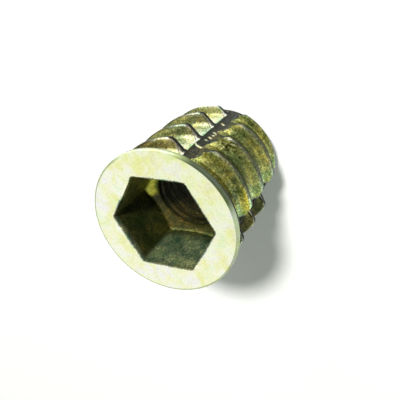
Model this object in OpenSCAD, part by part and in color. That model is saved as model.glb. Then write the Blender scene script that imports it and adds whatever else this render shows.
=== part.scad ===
// Screw-in threaded insert for wood: a zinc casting with a thin flange, a hexagon drive socket,
// a coarse outside thread broken by the four slides of the mould, and a metric hole through it.
// Stands on its tip: origin at the middle of the tip end, the axis along +Z, flange uppermost.

/* [Body] */
// overall length, tip to flange face
body_len = 15; // [12:0.5:25]
// diameter of the plain core, seen in the grooves between the rows of fins
core_d = 9.85; // [9.4:0.05:10.2]
// diameter of the root surface that the fins stand on
root_d = 10.2; // [10:0.05:10.6]
// chamfer round the outside of the tip
tip_chamfer = 0.25; // [0.05:0.05:0.6]

/* [Flange] */
// diameter of the flange
flange_d = 13; // [12:0.1:18]
// thickness of the flange at its rim
flange_t = 0.5; // [0.3:0.05:1.5]
// rounding of the rim on the face side
flange_round = 0.15; // [0.05:0.01:0.25]

/* [Wood thread] */
// diameter over the crests of the fins
thread_d = 12.5; // [12:0.1:13]
// rise of the thread in one turn
thread_pitch = 3.2; // [2.6:0.1:4.5]
// width of a crest before its edges are rounded
crest_w = 0.6; // [0.4:0.02:0.9]
// rounding of the crest edges
crest_round = 0.15; // [0.05:0.01:0.2]
// lean of the flank that faces the flange; the flank that faces the tip is square to the axis
flank_angle = 10; // [2:1:20]
// radius of the hollow between that flank and the root
cove_r = 0.55; // [0.3:0.05:0.8]
// distance from the flange face to the tip side of the crest, on the +X side
thread_start = 3.54; // [2.8:0.02:4.5]
// height over which the last turn runs out toward the tip
runout_len = 4.3; // [3:0.1:6]
// height of the plain end left at the tip
pilot_len = 0.75; // [0.4:0.05:1.5]

/* [Mould slides] */
// distance from the axis to the plane of each end wall of a row of fins
wall_offset = 3.74; // [3.4:0.01:4.1]
// lean of each end wall in toward the middle of its row
wall_draft = 9; // [6:0.2:20]
// rounding between the crest of a fin and its end wall
wall_round = 0.8; // [0.2:0.05:1]

/* [Drive socket] */
// size of the hexagon across its flats
hex_af = 8; // [6:0.5:8.5]
// rounding in the corners of the hexagon
hex_round = 0.35; // [0.1:0.05:0.8]
// depth of the hexagon at its corners
socket_depth = 5.25; // [3:0.25:8]
// full angle of the conical bottom
drill_angle = 118; // [90:1:140]

/* [Metric hole] */
// diameter of the hole, the inside diameter of an M8 thread
bore_d = 6.8; // [5:0.1:7]
// chamfer of the hole at the tip
bore_chamfer = 0.4; // [0.1:0.05:0.6]

/* [Hidden] */
$fn = 96;
overlap = 0.05;
rows = 4;                      // rows of fins, one to each mould slide
arc_steps = 2;                 // facets in each rounded crest edge
cove_steps = 3;                // facets in the hollow beside each fin
round_steps = 3;               // facets between the crest of a fin and its end wall
core_r = core_d / 2;
root_r = root_d / 2;
crest_r = thread_d / 2;
foot_r = core_r - 0.4;         // the fins are carried down this far into the core
cove_end = 60;                 // slope at which the hollow runs into the root
hex_r = hex_af / sqrt(3);
bore_r = bore_d / 2;
row_top = body_len - flange_t;
turns = ceil((body_len - thread_start) / thread_pitch) + 1;

// half angle, seen from the axis, between the middle of a row and its end wall at radius r
function wall_at(r) = asin(wall_offset / r) - wall_draft;

// how far the ridge has sunk at height z: not at all above the runout, out of sight at the plain end
function sink_at(z) =
    (crest_r - root_r + 0.1) * pow(max(0, min(1, (runout_len - z) / (runout_len - pilot_len))), 3);

// crest radius of the ridge at height z
function crest_at(z) = crest_r - sink_at(z);

// section of a ridge with its crest at radius r, as [radius, height] from the tip side of the crest:
// square back, rounded crest, leaning flank, hollow, then down inside the core
function ridge_section(r) =
    let (rc = r - crest_round,
         zc = crest_w - crest_round * tan((90 - flank_angle) / 2),
         rh = root_r + cove_r,
         zh = zc + crest_round / cos(flank_angle) + (rc - rh) * tan(flank_angle) + cove_r / cos(flank_angle),
         re = rh - cove_r * sin(cove_end),
         ze = zh - cove_r * cos(cove_end))
    concat(
        [[foot_r, 0]],
        [for (i = [0:arc_steps]) let (a = 90 * (1 - i / arc_steps))
            [rc + crest_round * cos(a), crest_round * (1 - sin(a))]],
        [for (i = [0:arc_steps]) let (a = (90 - flank_angle) * i / arc_steps)
            [rc + crest_round * cos(a), zc + crest_round * sin(a)]],
        [for (i = [0:cove_steps]) let (a = flank_angle + (cove_end - flank_angle) * i / cove_steps)
            [rh - cove_r * sin(a), zh - cove_r * cos(a)]],
        [[foot_r, ze + (re - foot_r) * tan(cove_end)]]);

// the ridge that crosses the middle of a row at height z: a ring, tilted by the rise of the thread
// across the row and shifted sideways by as much as its crest sinks from one end wall to the other
module ridge(z) {
    m = (crest_r + root_r) / 2;
    a = wall_at(m);
    rise = thread_pitch * a / 360;
    shift = (crest_at(z + rise) - crest_at(z - rise)) / (2 * sin(a));
    translate([0, shift, z]) rotate([asin(rise / (m * sin(a))), 0, 0])
        rotate_extrude() polygon(ridge_section(crest_at(z)));
}

// one side of a row as [radius, angle]: up the drafted end wall, round to the crest, then clear of it
function row_side() =
    let (inner = core_r - 0.3,
         m = crest_r + overlap - wall_round,
         d = wall_offset - wall_round,
         start = asin(d / m))
    concat(
        [[inner, wall_at(inner)]],
        [for (i = [round_steps:-1:0])
            let (a = start + (90 - start) * i / round_steps,
                 x = m * cos(start) + wall_round * cos(a),
                 y = d + wall_round * sin(a))
            [norm([x, y]), atan2(y, x) - wall_draft]],
        [[crest_r + 1, start - wall_draft]]);

// space left to one row between its two end walls
module row_space() {
    side = row_side();
    n = len(side);
    translate([0, 0, tip_chamfer])
        linear_extrude(height = row_top + overlap - tip_chamfer)
            polygon(concat(
                [for (e = side) e[0] * [cos(e[1]), -sin(e[1])]],
                [for (i = [n - 1:-1:0]) side[i][0] * [cos(side[i][1]), sin(side[i][1])]]));
}

// one row of fins on its raised root surface; q quarters of a turn round from +X
module fin_row(q) {
    rotate([0, 0, q * 360 / rows]) intersection() {
        union() {
            translate([0, 0, pilot_len]) cylinder(r = root_r, h = body_len - pilot_len);
            for (k = [-1:turns]) {
                z = body_len - thread_start - (k - q / rows) * thread_pitch;
                if (z > pilot_len && z < row_top) ridge(z);
            }
        }
        row_space();
    }
}

// plain core, tip chamfer and the rounded flange, turned in one piece
module turned_body() {
    rotate_extrude()
        polygon(concat(
            [[0, 0], [core_r - tip_chamfer, 0], [core_r, tip_chamfer], [core_r, row_top],
             [flange_d / 2, row_top]],
            [for (i = [0:4]) let (a = 90 * i / 4)
                [flange_d / 2 - flange_round * (1 - cos(a)), body_len - flange_round * (1 - sin(a))]],
            [[0, body_len]]));
}

// outline of the hexagon with rounded corners, one corner on +X
function hex_outline() =
    [for (q = [0:5], i = [-2:2]) let (c = 60 * q, a = c + 15 * i,
        m = hex_r - hex_round / cos(30))
        [m * cos(c) + hex_round * cos(a), m * sin(c) + hex_round * sin(a)]];

// hexagon socket whose bottom is the cone left by the drill
module drive_socket() {
    drop = hex_r / tan(drill_angle / 2);
    intersection() {
        translate([0, 0, body_len - socket_depth - drop])
            linear_extrude(height = socket_depth + drop + 1) polygon(hex_outline());
        union() {
            translate([0, 0, body_len - socket_depth - drop]) cylinder(r1 = 0, r2 = hex_r, h = drop);
            translate([0, 0, body_len - socket_depth]) cylinder(r = hex_r + 1, h = socket_depth + 1);
        }
    }
}

module metric_hole() {
    translate([0, 0, -1]) cylinder(r = bore_r, h = body_len);
    translate([0, 0, -overlap])
        cylinder(r1 = bore_r + bore_chamfer + overlap, r2 = bore_r, h = bore_chamfer + overlap);
}

module insert() color([0.72, 0.70, 0.42]) {
    difference() {
        union() {
            turned_body();
            for (q = [0:rows - 1]) fin_row(q);
        }
        drive_socket();
        metric_hole();
    }
}

insert();
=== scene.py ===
import functools
import math

import bpy
import numpy as np
from mathutils import Matrix, Vector


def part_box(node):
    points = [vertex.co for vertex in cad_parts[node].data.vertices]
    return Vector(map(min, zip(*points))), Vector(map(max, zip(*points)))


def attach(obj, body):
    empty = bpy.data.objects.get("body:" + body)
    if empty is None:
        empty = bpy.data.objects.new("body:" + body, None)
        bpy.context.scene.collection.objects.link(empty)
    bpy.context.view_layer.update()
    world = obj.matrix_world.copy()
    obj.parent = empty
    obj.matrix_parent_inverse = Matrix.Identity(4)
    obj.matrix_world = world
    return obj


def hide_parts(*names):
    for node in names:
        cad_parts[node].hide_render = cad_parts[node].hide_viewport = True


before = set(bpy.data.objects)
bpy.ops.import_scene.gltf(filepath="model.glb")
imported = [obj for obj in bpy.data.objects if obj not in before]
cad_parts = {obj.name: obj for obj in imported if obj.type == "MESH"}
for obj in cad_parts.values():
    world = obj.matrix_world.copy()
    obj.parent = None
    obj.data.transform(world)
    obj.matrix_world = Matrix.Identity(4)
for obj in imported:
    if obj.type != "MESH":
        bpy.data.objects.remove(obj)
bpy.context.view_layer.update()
print("frame loaded")

mm = 0.001
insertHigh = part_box("insert")[1]
bodyLength = insertHigh.z / mm
flangeRadius = insertHigh.x / mm
rowCount = 4                   # rows of fins, one to each slide of the mould
rowHalf = 180 / rowCount       # angle from the middle of a row to the middle of a groove


# The casting: one skin of rings, each ring with the same number of points, so it closes on itself.
# Angles are in degrees, directions round from +X, and lengths in millimetres until the mesh is made.

casting = {
    "coreRadius": 4.925,
    "rootRadius": 5.1,
    "crestRadius": 6.25,
    "tipChamfer": 0.25,
    "flangeThickness": 0.5,
    "rimRound": 0.15,
    "rimSteps": 4,
    "rimUnderRound": 0.05,
    "rimUnderSteps": 2,
    "mouthRound": 0.07,
    "mouthSteps": 3,
    "boreRadius": 3.4,
    "boreChamfer": 0.4,
    "hiddenInset": 0.1,        # how far inside the core the skin turns back, within the flange
    "underInset": 0.3,         # from the crests in to a ring on the underside of the flange
    "faceInset": 0.05,         # from the rounding of the rim in to the first ring on the face
    "tipOffset": 0.1,          # from the middle of the tip's width out to the ring on it
    "edgeInset": 0.02,         # from the edges of the tip chamfer to the rings beside them
    "edgeDrop": 0.03,          # from its upper edge down to the last of these
    "shadeWeight": 60,         # over 50, the larger faces lead where the shading is evened
}

woodThread = {
    "pitch": 3.2,
    "turns": 5,
    "lowestCrest": 1.06,       # tip side of the lowest crest, in the middle of the row on -Y
    "crestWidth": 0.6,
    "crestCrown": 0.005,       # how much the crest stands out between its rounded edges
    "crestShares": ((0.43, "farEdge"), (0.6, "crest")),   # rings on the crest, as shares of its width
    "farRound": 0.2,
    "farSteps": 3,
    "nearRound": 0.18,
    "nearParts": ("crest", "edge", "edge", "edge", "flankTop"),   # rings round the edge by the flank
    "backDraft": 1.5,
    "backRings": (0.1, 0.5),   # rings on the tip side, out from the root and in from the crest
    # rings at the foot of the tip side: how far below it, how far out from the root, and the part
    "footRings": ((0.5, 0, "behind"), (0.12, 0, "behind"), (0.04, 0.02, "back")),
    "flankLean": 10.0,
    "coveRadius": 0.55,
    "coveEnd": 88.0,           # slope at which the hollow meets the root
    "coveParts": ("flank", "flank", "cove", "cove", "cove", "cove", "root", "root"),   # its rings
    "rootRings": ((0.25, "root"), (0.7, "behind")),   # rings on the root, past the middle of the hollow
    "runoutLength": 4.3,
    "runoutDepth": 0.1,        # how far under the root the crest has sunk at the plain end
    "pilotLength": 0.75,
    "pilotBlend": (-0.15, 0.30),   # heights over the plain end between which the root surface rises
    "rootLift": 0.004,         # the least that the rows stand off the core
    "wallOffset": 3.74,        # from the axis to the plane of each end wall
    "wallDraft": 9.0,
    "wallRound": 0.8,          # between the crest and the end wall of a row
    "wallClearance": 0.05,     # how far past the crest that rounding begins
    "wallEdge": 0.06,          # softness of the edges of the end wall
    "wallShares": (0.0, 0.2, 0.42, 0.68, 1.0),   # places of the points down the end wall
    # as shares of wallEdge: the first point's least distance from the top of the end wall,
    # what each point after it adds to that, and the distance from the foot to the next point
    "wallSpacing": (0.8, 0.4, 0.6),
    "platformEnd": 40.3,       # half angle of the raised root surface
    "platformBefore": 0.4,     # angles from its edge to the points before and after it and at its foot
    "platformAfter": 0.3,
    "platformFoot": 1.3,
    "platformDrop": 0.35,      # share of its height that the point after its edge lies lower
    "rowSteps": 12,
    "arcPoints": (25, 13, 4),  # points of the measured arc: over the crest, its rounding, the root
    "tailSteps": 8,
    "tailLength": 0.05,        # least height between the tip chamfer and the first fin
}

flangeUnder = bodyLength - casting["flangeThickness"]
hiddenTop = flangeUnder + casting["flangeThickness"] / 2   # the fins' skin ends here, inside the flange

# the columns of half a row, counted from its middle
grooveColumns = 3
cornerColumn = woodThread["rowSteps"] + 1
footColumn = cornerColumn + len(woodThread["wallShares"])
platformColumn = footColumn + 3
halfColumns = platformColumn + grooveColumns + 1


def sind(a):
    return math.sin(math.radians(a))


def cosd(a):
    return math.cos(math.radians(a))


def tand(a):
    return math.tan(math.radians(a))


def smooth(t):
    t = min(1.0, max(0.0, t))
    return t * t * (3 - 2 * t)


def ramp(value, start, end):
    # 0 before start, 1 past end, eased between them
    return smooth((value - start) / (end - start))


def sinkAt(z):
    # how far a crest at height z has sunk, as the thread runs out toward the tip
    w = woodThread
    t = (w["runoutLength"] - z) / (w["runoutLength"] - w["pilotLength"])
    return (casting["crestRadius"] - casting["rootRadius"] + w["runoutDepth"]) * min(1, max(0, t)) ** 3


def rootAt(z):
    # the raised root surface fades into the plain end
    w, core = woodThread, casting["coreRadius"]
    rise = ramp(z - w["pilotLength"], *w["pilotBlend"])
    return core + w["rootLift"] + (casting["rootRadius"] - core) * rise


def rowRadius(nominal, z):
    # radius of the station and of the root surface at height z
    base = rootAt(z)
    most = casting["crestRadius"] + woodThread["crestCrown"]
    return round(min(max(nominal - sinkAt(z), base), most), 4), round(base, 4)


def finSection():
    # (height, radius, part) from the tip side of a full fin to the root before the next one
    w, crest, root = woodThread, casting["crestRadius"], casting["rootRadius"]
    lean, far, near, cove = w["flankLean"], w["farRound"], w["nearRound"], w["coveRadius"]

    def back(r):
        return -(crest - r) * tand(w["backDraft"])

    points = [(back(root) - drop, root + out, part) for drop, out, part in w["footRings"]]
    points += [(back(r), r, "back") for r in (root + w["backRings"][0], crest - w["backRings"][1])]
    for i in range(w["farSteps"] + 1):
        a = 90 * (1 - i / w["farSteps"])
        points.append((far * (1 - sind(a)), crest - far + far * cosd(a), "farEdge"))
    points += [(w["crestWidth"] * share, crest + w["crestCrown"], part)
               for share, part in w["crestShares"]]
    edgeR = crest - near
    edgeZ = w["crestWidth"] - near * tand((90 - lean) / 2)
    for i, part in enumerate(w["nearParts"]):
        a = (90 - lean) * i / (len(w["nearParts"]) - 1)
        points.append((edgeZ + near * sind(a), edgeR + near * cosd(a), part))
    coveR = root + cove
    coveZ = edgeZ + near / cosd(lean) + (edgeR - coveR) * tand(lean) + cove / cosd(lean)
    for i, part in enumerate(w["coveParts"]):
        a = lean + (w["coveEnd"] - lean) * i / (len(w["coveParts"]) - 1)
        points.append((coveZ - cove * cosd(a), coveR - cove * sind(a), part))
    return points + [(coveZ + rise, root, part) for rise, part in w["rootRings"]]


def endWallPath(rho, base):
    # points down the end wall of a row, from radius rho to radius base, in the frame turned by its draft
    w = woodThread
    c, off = w["wallRound"], w["wallOffset"]
    m, d = casting["crestRadius"] + w["wallClearance"] - c, off - c
    start = math.degrees(math.asin(d / m))
    turns = np.linspace(start, 90, w["arcPoints"][1])
    arc = [(m * cosd(start) + c * cosd(t), d + c * sind(t)) for t in turns]
    path = np.array(arc + [(math.sqrt(base ** 2 - off ** 2), off)])
    radii = np.hypot(path[:, 0], path[:, 1])
    top = [np.interp(rho, radii[::-1], path[::-1, k]) for k in (0, 1)]
    return np.array([top] + path[radii < rho - 1e-6].tolist() + [path[-1]])


@functools.lru_cache(maxsize=None)
def rowArc(rho, base):
    # (angle, radius) from the middle of a row, over its end wall and foot, to the middle of the groove
    w, core = woodThread, casting["coreRadius"]
    wall = endWallPath(max(rho, base + 1e-4), base)
    angle = np.degrees(np.arctan2(wall[:, 1], wall[:, 0])) - w["wallDraft"]
    over = np.linspace(0, angle[0], w["arcPoints"][0])[:-1]
    beyond = np.linspace(angle[-1], w["platformEnd"], w["arcPoints"][2])[1:]
    angle = np.radians(np.concatenate([over, angle, beyond]))
    radius = np.concatenate([over * 0 + rho, np.hypot(wall[:, 0], wall[:, 1]), beyond * 0 + base])
    x, y = radius * np.cos(angle), radius * np.sin(angle)
    along = np.concatenate([[0], np.cumsum(np.hypot(np.diff(x), np.diff(y)))])
    corner, foot = along[len(over)], along[-1 - len(beyond)]

    def at(d):
        return np.array([np.interp(d, along, x), np.interp(d, along, y)])

    e = w["wallEdge"]
    first, more, beyondFoot = w["wallSpacing"]
    out = [at((corner - e) * i / w["rowSteps"]) for i in range(w["rowSteps"] + 1)]
    out.append(at(corner) * 0.5 + (at(corner - e) + at(corner + e)) * 0.25)
    steps = [max((foot - corner) * share, e * (first + more * k))
             for k, share in enumerate(w["wallShares"])]
    out += [at(corner + d) for d in steps]
    out.append(at(max(foot, corner + steps[-1]) + e * beyondFoot))
    points = [(math.degrees(math.atan2(p[1], p[0])), math.hypot(*p)) for p in out]
    points.append((w["platformEnd"] - w["platformBefore"], base))
    points.append((w["platformEnd"] + w["platformAfter"], base - (base - core) * w["platformDrop"]))
    edge = w["platformEnd"] + w["platformFoot"]
    points += [(edge + (rowHalf - edge) * i / (grooveColumns - 1), core) for i in range(grooveColumns)]
    return points


def finRings():
    # the outside of the casting, ring by ring from the tip chamfer up into the flange
    w, low, root = woodThread, casting["tipChamfer"], casting["rootRadius"]
    section = finSection()
    stations = [("tail", i / w["tailSteps"], root, "tail") for i in range(w["tailSteps"])]
    stations += [("fin", w["pitch"] * turn + h, r, "tail" if turn == 0 and h < 0 else part)
                 for turn in range(w["turns"]) for h, r, part in section]

    def heightAt(kind, place, q, a):
        shift = w["lowestCrest"] + w["pitch"] * ((q + 1) % rowCount / rowCount + a / 360)
        start = max(low + w["tailLength"], section[0][0] + shift)
        if kind == "tail":
            return low + (start - low) * place
        return min(hiddenTop, max(start, place + shift))

    def halfRow(kind, place, nominal, part, q, side):
        z = heightAt(kind, place, q, 0)
        beside = heightAt(kind, place, (q + side) % rowCount, side * -rowHalf)
        meet = (heightAt(kind, place, q, side * rowHalf) + beside) / 2
        points = []
        for i in range(halfColumns):
            a = rowArc(*rowRadius(nominal, z))[i][0]
            # the crest sinks along the fin, so each point takes the arc for its own height
            for _ in range(2):
                z = heightAt(kind, place, q, side * a)
                a, r = rowArc(*rowRadius(nominal, z))[i]
            if i > platformColumn:
                t = (i - platformColumn) / grooveColumns
                z = z + (meet - z) * t
            azimuth = q * 2 * rowHalf + side * a
            points.append((azimuth, r, z, finTint(part, side, i, z, azimuth)))
        return points

    rings = []
    for station in stations:
        ring = []
        for q in range(rowCount):
            ring += list(reversed(halfRow(*station, q, -1)))[1:] + halfRow(*station, q, 1)[1:]
        rings.append(ring)
    return addFlash(splitRings(rings))


# flash left across one groove by the slides; lengths in mm
flash = {
    # angle from the middle of the groove and height, at both ends of each ridge
    "lines": ((5.0, 9.46, -5.0, 9.76), (1.5, 8.06, -1.5, 8.12), (0.0, 7.40, -4.5, 7.55),
              (-1.0, 6.83, -8.0, 6.98), (0.5, 6.25, -4.0, 6.42), (-2.0, 5.75, -9.0, 5.80),
              (3.0, 3.88, -3.0, 4.21)),
    "width": 0.085,
    "rise": 0.06,
    "endFade": 0.8,            # angle over which a ridge fades at its ends
    "ringGap": 0.10,           # most height left between two rings
    # pale ridges brightened into a painted highlight
    "tint": (1.45, 1.45, 1.12),
}


def splitRings(rings):
    # more rings where they lie far apart, so the thin ridges in the groove find points to stand on
    out = rings[:1]
    for ring in rings[1:]:
        last = out[-1]
        gap = max(abs(p[2] - o[2]) for p, o in zip(ring, last))
        steps = max(1, math.ceil(gap / flash["ringGap"]))
        for k in range(1, steps + 1):
            t = k / steps
            out.append([(p[0], o[1] + (p[1] - o[1]) * t, o[2] + (p[2] - o[2]) * t,
                         tuple(b + (c - b) * t for b, c in zip(o[3], p[3]))) for p, o in zip(ring, last)])
    return out


def addFlash(rings):
    # raise the ridges in the groove between the rows on -Y and +X, in a pale tint brightened into a
    # painted highlight
    perRow = 2 * (halfColumns - 1)
    for ring in rings:
        for column, (azimuth, r, z, tint) in enumerate(ring):
            i = column % perRow - (halfColumns - 2)
            if abs(i) > footColumn and (column // perRow + (i > 0)) % rowCount == 0:
                ridge = flashAt((azimuth + rowHalf + 180) % 360 - 180, z)
                tint = tuple(t + (f - t) * ridge for t, f in zip(tint, flash["tint"]))
                ring[column] = (azimuth, r + flash["rise"] * ridge, z, tint)
    return rings


def flashAt(across, z):
    # how far the point stands on a ridge, from its angle across the groove and its height
    most = 0
    for a0, z0, a1, z1 in flash["lines"]:
        t = (across - a0) / (a1 - a0)
        inside = smooth((0.5 - abs(t - 0.5)) * abs(a1 - a0) / flash["endFade"] + 0.5)
        off = (z - (z0 + (z1 - z0) * t)) / flash["width"]
        most = max(most, inside * math.exp(-off * off))
    return most


# tints by place, multiplied with the coat's patches and grain; the dark socket, ledge, bore, groove and
# pilot tints are the coat darkened with painted shade
tints = {
    "rim": (0.42, 0.50, 0.38),
    "rimEdge": (0.50, 0.58, 0.44),
    "face": (1.0, 1.0, 1.0),
    "mouth": (0.16, 0.17, 0.10),
    "socket": (0.075, 0.080, 0.022),
    "ledge": (0.090, 0.072, 0.015),
    "bore": (0.066, 0.052, 0.018),
    "under": (0.16, 0.16, 0.11),
    "pilot": (0.036, 0.035, 0.034),
    "tipEdge": (0.018, 0.020, 0.016),
    "groove": (0.034, 0.036, 0.030),
    "platformEdge": (0.20, 0.34, 0.13),
}

# the same for the parts of a fin: in the middle of a row, at its pale end, at its olive end,
# and on the end walls beside the pale and the olive end
# painted light in these: the pale ends of the hollow, the root and the strip behind a crest, their end
# walls there, and the pale end of the edge are painted highlights; the far edge, the strip behind a crest
# and the dark end walls are painted shade
finTints = {
    "tail": ((0.09, 0.09, 0.06), (0.12, 0.12, 0.09), (0.09, 0.09, 0.06),
             (0.030, 0.032, 0.028), (0.030, 0.032, 0.028)),
    "behind": ((0.095, 0.107, 0.050), (1.0, 1.1, 0.92), (0.07, 0.07, 0.04),
               (0.66, 1.0, 0.84), (0.07, 0.07, 0.04)),
    "root": ((0.140, 0.152, 0.068), (1.15, 1.15, 0.95), (0.28, 0.30, 0.12),
             (1.10, 1.15, 1.05), (0.28, 0.30, 0.12)),
    "cove": ((0.200, 0.215, 0.090), (1.12, 1.12, 0.72), (0.90, 0.90, 0.36),
             (0.30, 0.28, 0.265), (0.14, 0.15, 0.12)),
    "flank": ((0.47, 0.49, 0.20), (0.40, 0.39, 0.22), (0.68, 0.70, 0.28),
              (0.30, 0.28, 0.265), (0.14, 0.15, 0.12)),
    "edge": ((0.18, 0.18, 0.11), (0.85, 0.90, 0.78), (0.50, 0.54, 0.44),
             (0.27, 0.25, 0.245), (0.28, 0.31, 0.26)),
    "crest": ((0.102, 0.107, 0.065), (0.18, 0.20, 0.16), (0.20, 0.21, 0.17),
              (0.10, 0.095, 0.095), (0.22, 0.24, 0.20)),
    "farEdge": ((0.014, 0.015, 0.011), (0.014, 0.015, 0.011), (0.014, 0.015, 0.011),
                (0.008, 0.008, 0.008), (0.014, 0.015, 0.012)),
    "back": ((0.25, 0.25, 0.12), (0.25, 0.25, 0.12), (0.25, 0.25, 0.12),
             (0.15, 0.145, 0.15), (0.15, 0.145, 0.15)),
}
finTints["flankTop"] = finTints["flank"]

# how these tints change with place, with painted highlight and painted shade among them;
# a span, heights or directions say where a change begins and where it is complete
finTintChanges = {
    "paleSpan": (0.25, 1.0),           # shares of the half row over which it turns pale or olive
    "oliveSpan": (0.7, 1.0),
    "paleLoss": 0.55,                  # the painted highlight of the pale ends is weaker from -Y round to -X
    "paleLossDirections": (-80, -110),
    "middleDark": (0.15, 0.50),        # darker middle of the row on +X, and what is added near the flange
    "middleDarkTone": (0.95, 1.0, 1.0),
    "middleDarkHeights": (10.5, 12.0),
    "warmth": (0.60, 0.45, 0.25),      # warmer near the flange, but not from -Y round to -X
    "warmHeights": (9, 13),
    "warmDirections": (-90, -75),
    "shade": 0.72,                     # painted shade close under the flange from -Y round to -X
    "shadeHeights": (12.2, 13.0),
    "shadeDirections": (-70, -84),
    "shadedDirection": 170.0,            # the side that painted shade darkens most
    "shadedDepth": 0.86,
    "shadedSpread": 1.2,
    "pilotHeights": (0.3, -0.1),       # over the plain end, where the tint turns into that end's own
}

# painted reflections and highlights over them, and one painted shade: what each adds to a part's red,
# green and blue, as a share, and the heights and directions between which it grows to the full
paleEnd = ((-103, -123), (-135, -131))   # the end toward -X of the row on -Y
nearFlange = (9.9, 10.5)
lastFinHighlight = {"flankTop": (1.8, 1.8, 2.2), "edge": (1.8, 1.9, 2.3), "crest": (1.2, 1.3, 1.5),
           "flank": (0.7, 0.7, 0.6), "cove": (0.25, 0.2, 0.1)}
paintedFinSheens = (
    # painted teal reflection at the pale end
    {"adds": dict.fromkeys(finTints, (0.20, 0.55, 0.45)),
     "heights": nearFlange[::-1], "directions": paleEnd},
    # painted yellow reflection there on the fin next to the flange, and a painted teal highlight on its
    # crest
    {"adds": {**dict.fromkeys(finTints, (0.70, 0.75, -0.10)), "flank": (0.75, 1.10, 0.50),
              "cove": (0.30, 0.65, 0.45), "edge": (0.90, 1.90, 0.90), "crest": (0.90, 1.90, 0.90)},
     "heights": nearFlange, "directions": paleEnd},
    # a painted orange highlight on its flank, close to the crest, and painted shade in its hollow
    {"adds": {"flankTop": (1.55, 0.95, -0.2), "flank": (0.155, 0.095, -0.02)},
     "heights": nearFlange, "directions": ((-93, -103), (-118, -110))},
    {"adds": {"cove": (-0.45, -0.36, -0.20)},
     "heights": nearFlange, "directions": ((-92, -106), paleEnd[1])},
    # painted highlight on the end toward -Y of the last fin of the row on +X
    {"adds": lastFinHighlight, "heights": (3.3, 2.8), "directions": ((-5, -25), (-49, -41)), "grooveToo": False},
    {"adds": lastFinHighlight, "heights": (3.3, 2.8), "directions": ((-25, -33), (-49, -41)), "grooveToo": False},
)


def finTint(part, side, i, z, azimuth):
    # the tint at column i of half a row: the row's, then its end wall's, then the groove's
    coat = finTintChanges
    azimuth = (azimuth + 180) % 360 - 180
    inGroove = i >= platformColumn or (side > 0 and i > footColumn)
    if inGroove:
        tint = np.array(tints["groove"])
    elif side < 0 and i == platformColumn - 1 and part in ("root", "behind"):
        tint = np.array(tints["platformEdge"])
    # white tips at the foot of the pale end: painted highlight
    elif side < 0 and i >= footColumn - 1 and part in ("cove", "flank", "flankTop"):
        tint = np.array(finTints["root"][3])
    elif i >= cornerColumn:
        tint = np.array(finTints[part][4 if side > 0 else 3])
    else:
        tint = rowTint(part, side, i / woodThread["rowSteps"], z, azimuth)
    # painted shade close under the flange and toward the shaded side, and the painted sheens
    warm = ramp(z, *coat["warmHeights"]) * ramp(azimuth, *coat["warmDirections"])
    shade = 1 - coat["shade"] * ramp(z, *coat["shadeHeights"]) * ramp(azimuth, *coat["shadeDirections"])
    dark = 1 if part in ("edge", "crest") and not inGroove else shadedSideTone(azimuth)
    tint = tint * dark * shade * (1 + paintedSheenOver(part, z, azimuth, inGroove))
    tint = tint * (1 + warm * np.array(coat["warmth"]))
    plain = ramp(z - woodThread["pilotLength"], *coat["pilotHeights"])
    return tuple(tint + (np.array(tints["pilot"]) - tint) * plain)


def rowTint(part, side, along, z, azimuth):
    # the tint on the row itself, at a share of the way from its middle to its pale or olive end
    coat = finTintChanges
    middle, pale, olive = (np.array(t) for t in finTints[part][:3])
    if abs(azimuth) < rowHalf:
        least, more = coat["middleDark"]
        dark = least + more * ramp(z, *coat["middleDarkHeights"])
        middle = middle * (1 - dark * np.array(coat["middleDarkTone"]))
    if side > 0:
        return middle + (olive - middle) * ramp(along, *coat["oliveSpan"])
    # painted highlight toward the pale end
    paleness = 1 - coat["paleLoss"] * ramp(azimuth, *coat["paleLossDirections"])
    return middle + (pale - middle) * ramp(along, *coat["paleSpan"]) * paleness


def paintedSheenOver(part, z, azimuth, inGroove):
    total = np.zeros(3)
    for sheen in paintedFinSheens:
        if part in sheen["adds"] and (sheen.get("grooveToo", True) or not inGroove):
            strength = ramp(z, *sheen["heights"])
            for span in sheen["directions"]:
                strength *= ramp(azimuth, *span)
            total += strength * np.array(sheen["adds"][part])
    return total


# painted shade, darkest toward one side of the casting
def shadedSideTone(azimuth):
    coat = finTintChanges
    return 1 - coat["shadedDepth"] * smooth(cosd(azimuth - coat["shadedDirection"]) * coat["shadedSpread"])


hexSocket = {
    "acrossFlats": 8.0,
    "cornerRound": 0.35,
    "depth": 5.25,
    "drillAngle": 118.0,
    "cornerSteps": 8,
    "sideSteps": 24,
    "faceShares": (0.75, 0.5, 0.25, 0.05),               # rings on the face, out from the mouth
    "wallShares": (0.1, 0.3, 0.5, 0.7, 0.9, 0.985),      # rings down the wall
    "ledgeShares": (0.015, 0.25, 0.5, 0.75, 0.97),       # rings on the ledge, in from the wall
    "tintFade": (0.72, 0.97),    # shares of the wall between which the tints of its sides fade
}

metricThread = {
    "pitch": 1.25,
    "depth": 0.28,
    "flat": 0.125,               # width of the flat at the bottom of the cut, as a share of the pitch
    "ringStep": 0.07,
    "fadeIn": 0.35,
    "darkTone": 0.65,            # tone between the painted highlight lines of the thread, two to a turn
    "highlightGain": 1.1,           # what the painted highlight lines add
    "highlightWidth": 0.13,         # their width, as a share of half the pitch
}

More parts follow.
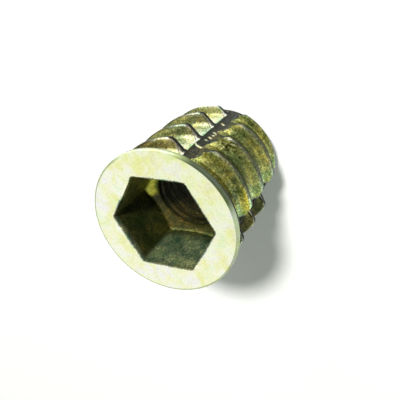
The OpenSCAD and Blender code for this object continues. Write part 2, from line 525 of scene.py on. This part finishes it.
# where a zone has another tint on one side: direction, half angle and softness in degrees,
# how fast it fades away from the wall of the socket, and the tint
# on the rim, its rounded edge, the socket and the ledge, and in the bright streak of the mouth, these are
# painted highlights and painted shade
sideTints = {
    "rim": ((-22, 30, 12, 0, (0.17, 0.22, 0.17)), (-76, 30, 14, 0, (0.05, 0.058, 0.036)),
            (-143, 18, 12, 0, (0.38, 0.42, 0.33))),
    "rimEdge": ((-22, 30, 12, 0, (0.95, 1.0, 0.92)), (-76, 30, 14, 0, (0.12, 0.15, 0.105)),
                (-143, 18, 12, 0, (0.45, 0.50, 0.40))),
    "face": ((-75, 110, 90, 0, (0.945, 0.96, 0.86)),),
    "mouth": ((20, 18, 6, 0, (0.85, 0.88, 0.62)), (90, 31, 5, 0, (0.26, 0.28, 0.21))),
    "socket": ((150, 33, 6, 1, (0.24, 0.29, 0.18)), (30, 33, 6, 0, (0.30, 0.30, 0.10))),
    "ledge": ((150, 33, 6, 8, (0.40, 0.39, 0.15)), (52, 20, 8, 1, (2.5, 2.1, 0.26))),
}


def hexAngles():
    # (angle, radius) round the hexagon with rounded corners, one corner on +X
    h = hexSocket
    rounding = h["cornerRound"]
    m = h["acrossFlats"] / math.sqrt(3) - rounding / cosd(30)
    points = []
    for q in range(6):
        c = 60 * q
        for i in range(h["cornerSteps"] + 1):
            t = c - 30 + 60 * i / h["cornerSteps"]
            points.append((m * cosd(c) + rounding * cosd(t), m * sind(c) + rounding * sind(t)))
        x0, y0 = points[-1]
        x1 = m * cosd(c + 60) + rounding * cosd(c + 30)
        y1 = m * sind(c + 60) + rounding * sind(c + 30)
        for i in range(1, h["sideSteps"]):
            t = i / h["sideSteps"]
            points.append((x0 + (x1 - x0) * t, y0 + (y1 - y0) * t))
    return [(math.degrees(math.atan2(y, x)) % 360, math.hypot(x, y)) for x, y in points]


def threadDepth(a, z, top):
    # a 60 degree thread cut outward from the hole, right-handed, flat at its bottom and at its crests
    t = metricThread
    phase = (z / t["pitch"] - a / 360) % 1
    across = abs(phase - 0.5) * t["pitch"]          # from the middle of the cut
    full = t["depth"] - max(0, across - t["flat"] * t["pitch"] / 2) * math.sqrt(3)
    fade = smooth((top - z) / t["fadeIn"]) * smooth((z - casting["boreChamfer"]) / t["fadeIn"])
    return max(0, full) * fade


# painted highlight lines along the thread in the hole
def threadHighlightTone(a, z):
    t = metricThread
    off = ((2 * z / t["pitch"] - a / 180) % 1 - 0.5) / t["highlightWidth"]
    return t["darkTone"] + t["highlightGain"] * math.exp(-off ** 2)


def turnedRings(columns):
    # from inside the flange, round the rim, over the face, down the socket and the hole to the tip
    c, h, t = casting, hexSocket, metricThread
    rings, zones = [], []

    def add(zone, rule, inward=0, tone=lambda a: 1):
        # inward is the share of the way to where the tints of the sides have faded
        ring = []
        for a, hexR in columns:
            tint = np.array(tints[zone])
            for direction, half, softness, fade, other in sideTints.get(zone, ()):
                side = smooth((half - abs((a - direction + 180) % 360 - 180)) / softness)
                tint = tint + (np.array(other) - tint) * side * (1 - inward) ** fade
            ring.append((a,) + rule(a, hexR) + (tuple(tint * tone(a)),))
        rings.append(ring)
        zones.append(zone)

    def circle(zone, r, z):
        add(zone, lambda a, hexR: (r, z))

    hidden = c["coreRadius"] - c["hiddenInset"]
    circle("under", hidden, hiddenTop)
    circle("under", hidden, flangeUnder)
    circle("under", c["crestRadius"] - c["underInset"], flangeUnder)
    u = c["rimUnderRound"]
    for i in range(c["rimUnderSteps"] + 1):
        a = 90 * i / c["rimUnderSteps"]
        circle("rim", flangeRadius - u + u * sind(a), flangeUnder + u - u * cosd(a))
    u = c["rimRound"]
    for i in range(c["rimSteps"] + 1):
        a = 90 * i / c["rimSteps"]
        circle("rimEdge", flangeRadius - u * (1 - cosd(a)), bodyLength - u * (1 - sind(a)))
    outer = flangeRadius - c["rimRound"] - c["faceInset"]
    circle("face", outer, bodyLength)
    f = c["mouthRound"]
    for s in h["faceShares"]:
        add("face", lambda a, hexR: (hexR + f + (outer - hexR - f) * s, bodyLength))
    for i in range(c["mouthSteps"] + 1):
        b = 90 * i / c["mouthSteps"]
        add("mouth", lambda a, hexR: (hexR + f * (1 - sind(b)), bodyLength - f * (1 - cosd(b))))
    cornerR = h["acrossFlats"] / math.sqrt(3)
    slope = tand(h["drillAngle"] / 2)
    floorZ = bodyLength - h["depth"]

    def coneZ(r):
        return floorZ - (cornerR - r) / slope

    def onLedge(hexR, s):
        r = hexR + (c["boreRadius"] - hexR) * s
        return r, coneZ(r)

    for s in h["wallShares"]:
        add("socket", lambda a, hexR: (hexR, bodyLength - f + (coneZ(hexR) - bodyLength + f) * s),
            ramp(s, *h["tintFade"]))
    for s in h["ledgeShares"]:
        add("ledge", lambda a, hexR: onLedge(hexR, s), s)
    top = coneZ(c["boreRadius"])
    count = int((top - c["boreChamfer"]) / t["ringStep"])
    for i in range(1, count):
        z = top + (c["boreChamfer"] - top) * i / count
        add("bore", lambda a, hexR: (c["boreRadius"] + threadDepth(a, z, top), z), 0,
            lambda a: threadHighlightTone(a, z))
    circle("bore", c["boreRadius"], c["boreChamfer"])
    circle("bore", c["boreRadius"] + c["boreChamfer"], 0)
    circle("pilot", (c["boreRadius"] + c["coreRadius"]) / 2 + c["tipOffset"], 0)
    circle("pilot", c["coreRadius"] - c["tipChamfer"] - c["edgeInset"], 0)
    circle("tipEdge", c["coreRadius"] - c["tipChamfer"] + c["edgeInset"], c["edgeInset"])
    circle("tipEdge", c["coreRadius"] - c["edgeInset"], c["tipChamfer"] - c["edgeDrop"])
    return rings, zones


# zones that don't take the finish of the fins
coatOf = {"face": "face", "rim": "face", "rimEdge": "face",
          "mouth": "socket", "socket": "socket", "ledge": "socket", "bore": "socket"}


def makeCasting():
    columns = hexAngles()
    fins = finRings()
    around = len(fins[0])
    first = fins[0][0][0]
    shift = min(range(len(columns)), key=lambda i: abs((columns[i][0] - first + 180) % 360 - 180))
    columns = columns[shift:] + columns[:shift]
    if len(columns) != around:
        raise ValueError(f"{len(columns)} columns in the socket and {around} round the fins")
    turned, zones = turnedRings(columns)
    rings = fins + turned
    zones = ["fins"] * len(fins) + zones
    points = np.array([[p[:3] for p in ring] for ring in rings], float)
    angle, radius, z = np.radians(points[:, :, 0]), points[:, :, 1], points[:, :, 2]
    xyz = np.stack([radius * np.cos(angle), radius * np.sin(angle), z], -1)
    count = len(rings)
    faces, finishOf = [], []
    for j in range(count):
        k = (j + 1) % count
        for i in range(around):
            n = (i + 1) % around
            faces.append((j * around + i, j * around + n, k * around + n, k * around + i))
            finishOf.append(coatOf.get(zones[k], "fins"))
    mesh = bpy.data.meshes.new("insertCasting")
    mesh.from_pydata((xyz.reshape(-1, 3) * mm).tolist(), [], faces)
    mesh.validate()
    piece = bpy.data.objects.new("insertCasting", mesh)
    bpy.context.scene.collection.objects.link(piece)
    for polygon in mesh.polygons:
        polygon.use_smooth = True
    # the coat's tint with the painted shade and painted highlights of the fins and socket in it
    tint = mesh.attributes.new("coatAndPaintedLight", "FLOAT_COLOR", "POINT")
    tint.data.foreach_set("color", [v for ring in rings for p in ring for v in (*p[3], 1.0)])
    return piece, finishOf


# The finish: yellow chromate over zinc, in one node tree made from a dictionary for each part of it.

def addNode(tree, kind, **settings):
    node = tree.nodes.new(kind)
    for name, value in settings.items():
        if name in node.inputs:
            node.inputs[name].default_value = value
        else:
            setattr(node, name, value)
    return node


# detail, roughness and distortion of each noise
noises = {
    "patch": (3.0, 0.6, 0.6),
    "stain": (3.0, 0.55, 0.3),
    "grain": (5.0, 0.7, 0.0),
    "dull": (4.0, 0.6, 0.0),
    "bump": (4.0, 0.6, 0.0),
    "blister": (2.0, 0.55, 0.0),
}


def noiseOf(tree, place, kind, look):
    detail, roughness, distortion = noises[kind]
    node = addNode(tree, "ShaderNodeTexNoise", Scale=look["scales"][kind], Detail=detail,
                   Roughness=roughness, Distortion=distortion)
    tree.links.new(place, node.inputs["Vector"])
    return node.outputs["Fac"]


def rampOf(tree, fac, stops):
    node = tree.nodes.new("ShaderNodeValToRGB")
    elements = node.color_ramp.elements
    while len(elements) < len(stops):
        elements.new(0.5)
    for element, (position, colour) in zip(elements, stops):
        element.position = position
        element.color = (*colour, 1)
    tree.links.new(fac, node.inputs["Fac"])
    return node.outputs["Color"]


def rangeOf(tree, value, source, target, **settings):
    node = addNode(tree, "ShaderNodeMapRange", **settings)
    for name, level in zip(("From Min", "From Max", "To Min", "To Max"), (*source, *target)):
        node.inputs[name].default_value = level
    tree.links.new(value, node.inputs["Value"])
    return node.outputs["Result"]


def product(tree, a, b):
    mix = addNode(tree, "ShaderNodeMix", data_type="RGBA", blend_type="MULTIPLY")
    mix.inputs[0].default_value = 1.0
    tree.links.new(a, mix.inputs[6])
    tree.links.new(b, mix.inputs[7])
    return mix.outputs[2]


def blisterTone(tree, place, look):
    # pits and painted glints on one small spot of the casting, plain everywhere else
    blister = look["blister"]
    away = addNode(tree, "ShaderNodeVectorMath", operation="DISTANCE")
    away.inputs[1].default_value = [v * mm for v in blister["place"]]
    tree.links.new(place, away.inputs[0])
    reach = (blister["inner"] * mm, blister["radius"] * mm)
    near = rangeOf(tree, away.outputs["Value"], reach, (1.0, 0.0))
    pitsAndGlints = rampOf(tree, noiseOf(tree, place, "blister", look), blister["pitsAndGlints"])
    mix = addNode(tree, "ShaderNodeMix", data_type="RGBA")
    mix.inputs[6].default_value = (1, 1, 1, 1)
    tree.links.new(near, mix.inputs[0])
    tree.links.new(pitsAndGlints, mix.inputs[7])
    return mix.outputs[2]


def chromateFinish(name, look):
    material = bpy.data.materials.new(name)
    material.use_nodes = True
    tree = material.node_tree
    tree.nodes.clear()
    link = tree.links.new
    out = tree.nodes.new("ShaderNodeOutputMaterial")
    metal = addNode(tree, "ShaderNodeBsdfPrincipled", Metallic=look["metallic"])
    link(metal.outputs["BSDF"], out.inputs["Surface"])
    place = tree.nodes.new("ShaderNodeTexCoord").outputs["Object"]

    colour = rampOf(tree, noiseOf(tree, place, "patch", look), look["colours"])
    colour = product(tree, colour, rampOf(tree, noiseOf(tree, place, "stain", look), look["stains"]))
    if "blister" in look:
        colour = product(tree, colour, blisterTone(tree, place, look))
    colour = product(tree, colour, rampOf(tree, noiseOf(tree, place, "grain", look), look["grain"]))
    tint = addNode(tree, "ShaderNodeAttribute", attribute_name="coatAndPaintedLight").outputs["Color"]
    colour = product(tree, colour, tint)
    colour.node.clamp_result = True
    link(colour, metal.inputs["Base Color"])

    dull = noiseOf(tree, place, "dull", look)
    link(rangeOf(tree, dull, look["dullRange"], look["roughness"]), metal.inputs["Roughness"])

    bump = addNode(tree, "ShaderNodeBump", Strength=look["bumpStrength"], Distance=look["bumpDepth"] * mm)
    link(noiseOf(tree, place, "bump", look), bump.inputs["Height"])
    link(bump.outputs["Normal"], metal.inputs["Normal"])
    return material


finishes = {
    "face": {
        "scales": {"patch": 850.0, "stain": 700.0, "grain": 5200.0, "dull": 2500.0, "bump": 3500.0},
        "colours": [(0.30, (0.84, 0.95, 0.70)), (0.43, (0.93, 0.97, 0.76)), (0.52, (0.96, 0.98, 0.82)),
                    (0.62, (0.92, 0.93, 0.92)), (0.74, (0.95, 0.96, 0.80))],
        "stains": [(0.42, (1.0, 1.0, 1.0)), (0.54, (0.985, 0.975, 0.78)), (0.64, (0.94, 0.94, 0.57))],
        "grain": [(0.25, (0.50, 0.48, 0.38)), (0.32, (0.84, 0.85, 0.74)), (0.50, (1.0, 1.0, 1.0))],
        "dullRange": (0.3, 0.7), "roughness": (0.34, 0.48),
        "bumpStrength": 0.25, "bumpDepth": 0.02, "metallic": 0.9,
    },
    "fins": {
        "scales": {"patch": 700.0, "stain": 1500.0, "grain": 5500.0, "dull": 3000.0, "bump": 6500.0,
                   "blister": 4200.0},
        "colours": [(0.32, (0.50, 0.62, 0.50)), (0.45, (0.86, 0.92, 0.84)), (0.56, (1.05, 1.02, 0.88)),
                    (0.68, (1.36, 1.20, 0.72))],
        "stains": [(0.36, (0.72, 0.78, 0.68)), (0.50, (1.0, 1.0, 1.0)), (0.64, (1.25, 1.18, 1.0))],
        # the grain's stops above 1 make painted glints
        "grain": [(0.36, (0.35, 0.36, 0.30)), (0.46, (0.80, 0.80, 0.78)), (0.56, (1.20, 1.20, 1.15)),
                  (0.61, (1.5, 1.5, 1.4)), (0.65, (3.2, 3.2, 3.0))],
        "dullRange": (0.3, 0.7), "roughness": (0.38, 0.54),
        "bumpStrength": 0.7, "bumpDepth": 0.02, "metallic": 1.0,
        "blister": {"place": (2.3, -5.2, 8.4), "radius": 0.75, "inner": 0.45,
                    "pitsAndGlints": [(0.38, (0.10, 0.10, 0.08)), (0.45, (0.9, 0.9, 0.9)),
                               (0.56, (1.1, 1.1, 1.0)), (0.62, (6.0, 6.0, 5.4))]},
    },
    "socket": {
        "scales": {"patch": 1300.0, "stain": 600.0, "grain": 6000.0, "dull": 2600.0, "bump": 4500.0},
        "colours": [(0.34, (0.40, 0.62, 0.52)), (0.46, (0.80, 0.90, 0.80)), (0.56, (1.0, 1.0, 0.90)),
                    (0.70, (1.5, 1.4, 1.2))],
        "stains": [(0.38, (0.52, 0.66, 0.60)), (0.50, (1.0, 1.0, 1.0)), (0.62, (1.35, 1.32, 1.05))],
        # the grain's stops above 1 make painted glints
        "grain": [(0.34, (0.22, 0.26, 0.24)), (0.44, (0.8, 0.8, 0.8)), (0.55, (1.1, 1.1, 1.1)),
                  (0.62, (1.6, 1.6, 1.5)), (0.68, (3.6, 3.6, 3.4))],
        "dullRange": (0.3, 0.7), "roughness": (0.30, 0.50),
        "bumpStrength": 0.5, "bumpDepth": 0.02, "metallic": 0.5,
    },
}

piece, finishOf = makeCasting()
finishNames = list(finishes)
for name in finishNames:
    piece.data.materials.append(chromateFinish(name + "Chromate", finishes[name]))
for polygon, name in zip(piece.data.polygons, finishOf):
    polygon.material_index = finishNames.index(name)
evenShade = piece.modifiers.new("evenShade", "WEIGHTED_NORMAL")
evenShade.weight = casting["shadeWeight"]
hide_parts("insert")
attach(piece, "root")
print("casting made:", len(piece.data.polygons), "faces")


# Floor, room, lamps and camera

stage = {
    "floorSize": 0.6,
    "floorColour": (0.85, 0.85, 0.85),
    "floorGlow": 0.22,
    "glowColour": (0.88, 1.0, 0.84),
    "roomSide": (0.823, -0.568, 0.0),   # the open room, darker than the pale backdrop opposite it
    "roomEdge": (-0.25, 0.45),          # how far toward that side the backdrop ends and the room begins
    "roomLevel": 0.75,
    "backdropLevel": 1.0,
    "diffuseLevel": 0.11,
}

# direction as azimuth and height in degrees, distance and size in metres
lamps = {
    "keyLamp": {"azimuth": -32, "height": 52, "distance": 0.9, "size": 0.135, "power": 9.45,
                "colour": (1.0, 0.99, 0.97), "mirrored": False},
    "sideCard": {"azimuth": -4, "height": 10, "distance": 0.15, "size": 0.09, "power": 0.05,
                 "colour": (1.0, 1.0, 0.98), "mirrored": True},
}

# place in millimetres, with the directions of its right, its top and its view
camera = {
    "place": (8.478, -25.400, 44.42),
    "right": (-0.52104, -0.75508, -0.39794),
    "up": (0.82667, -0.33039, -0.45550),
    "forward": (-0.21246, 0.56630, -0.79635),
    "lens": 44.1,
    "sensor": 36.0,
    "clipStart": 0.001,         # in metres
}


def makeFloor():
    half = stage["floorSize"] / 2
    mesh = bpy.data.meshes.new("floor")
    corners = [(-half, -half, 0), (half, -half, 0), (half, half, 0), (-half, half, 0)]
    mesh.from_pydata(corners, [], [(0, 1, 2, 3)])
    floor = bpy.data.objects.new("floor", mesh)
    bpy.context.scene.collection.objects.link(floor)
    material = bpy.data.materials.new("paleFloor")
    material.use_nodes = True
    tree = material.node_tree
    tree.nodes.clear()
    link = tree.links.new
    out = tree.nodes.new("ShaderNodeOutputMaterial")
    paint = addNode(tree, "ShaderNodeBsdfDiffuse", Color=(*stage["floorColour"], 1))
    glow = addNode(tree, "ShaderNodeEmission", Color=(*stage["glowColour"], 1))
    path = tree.nodes.new("ShaderNodeLightPath")
    seen = addNode(tree, "ShaderNodeMath", operation="MAXIMUM")
    link(path.outputs["Is Camera Ray"], seen.inputs[0])
    link(path.outputs["Is Glossy Ray"], seen.inputs[1])
    level = addNode(tree, "ShaderNodeMath", operation="MULTIPLY")
    level.inputs[1].default_value = stage["floorGlow"]
    link(seen.outputs[0], level.inputs[0])
    link(level.outputs[0], glow.inputs["Strength"])
    both = tree.nodes.new("ShaderNodeAddShader")
    link(paint.outputs[0], both.inputs[0])
    link(glow.outputs[0], both.inputs[1])
    link(both.outputs[0], out.inputs["Surface"])
    floor.data.materials.append(material)


def makeWorld():
    # a soft room: pale backdrop behind, darker on the open side; matte surfaces get one even level
    world = bpy.data.worlds.new("studio")
    world.use_nodes = True
    tree = world.node_tree
    link = tree.links.new
    sky = tree.nodes["Background"]
    aim = tree.nodes.new("ShaderNodeTexCoord").outputs["Generated"]
    dot = addNode(tree, "ShaderNodeVectorMath", operation="DOT_PRODUCT")
    dot.inputs[1].default_value = stage["roomSide"]
    link(aim, dot.inputs[0])
    levels = (stage["backdropLevel"], stage["roomLevel"])
    shade = rangeOf(tree, dot.outputs["Value"], stage["roomEdge"], levels,
                    interpolation_type="SMOOTHSTEP")
    path = tree.nodes.new("ShaderNodeLightPath")
    level = addNode(tree, "ShaderNodeMix", data_type="FLOAT")
    level.inputs[2].default_value = stage["diffuseLevel"]
    link(path.outputs["Is Glossy Ray"], level.inputs[0])
    link(shade, level.inputs[3])
    seen = addNode(tree, "ShaderNodeMix", data_type="FLOAT")
    seen.inputs[3].default_value = 1.0
    link(path.outputs["Is Camera Ray"], seen.inputs[0])
    link(level.outputs[0], seen.inputs[2])
    link(seen.outputs[0], sky.inputs["Strength"])
    sky.inputs["Color"].default_value = (1, 1, 1, 1)
    bpy.context.scene.world = world


def makeLamps():
    middle = Vector((0, 0, bodyLength * mm / 2))
    for name, lamp in lamps.items():
        light = bpy.data.lights.new(name, "AREA")
        light.shape = "DISK"
        light.size = lamp["size"]
        light.energy = lamp["power"]
        light.color = lamp["colour"]
        holder = bpy.data.objects.new(name, light)
        flat = lamp["distance"] * cosd(lamp["height"])
        holder.location = middle + Vector((flat * cosd(lamp["azimuth"]), flat * sind(lamp["azimuth"]),
                                           lamp["distance"] * sind(lamp["height"])))
        holder.rotation_euler = (middle - holder.location).to_track_quat("-Z", "Y").to_euler()
        holder.visible_glossy = lamp["mirrored"]
        bpy.context.scene.collection.objects.link(holder)


def makeCamera():
    eye = bpy.data.cameras.new("camera")
    eye.lens = camera["lens"]
    eye.sensor_width = camera["sensor"]
    eye.clip_start = camera["clipStart"]
    holder = bpy.data.objects.new("camera", eye)
    right, up, forward = (Vector(camera[k]) for k in ("right", "up", "forward"))
    turn = Matrix((right, up, -forward)).transposed().to_4x4()
    holder.matrix_world = Matrix.Translation(Vector(camera["place"]) * mm) @ turn
    bpy.context.scene.collection.objects.link(holder)
    bpy.context.scene.camera = holder


makeFloor()
makeWorld()
makeLamps()
makeCamera()
bpy.context.scene.view_settings.view_transform = "Standard"
print("stage set")
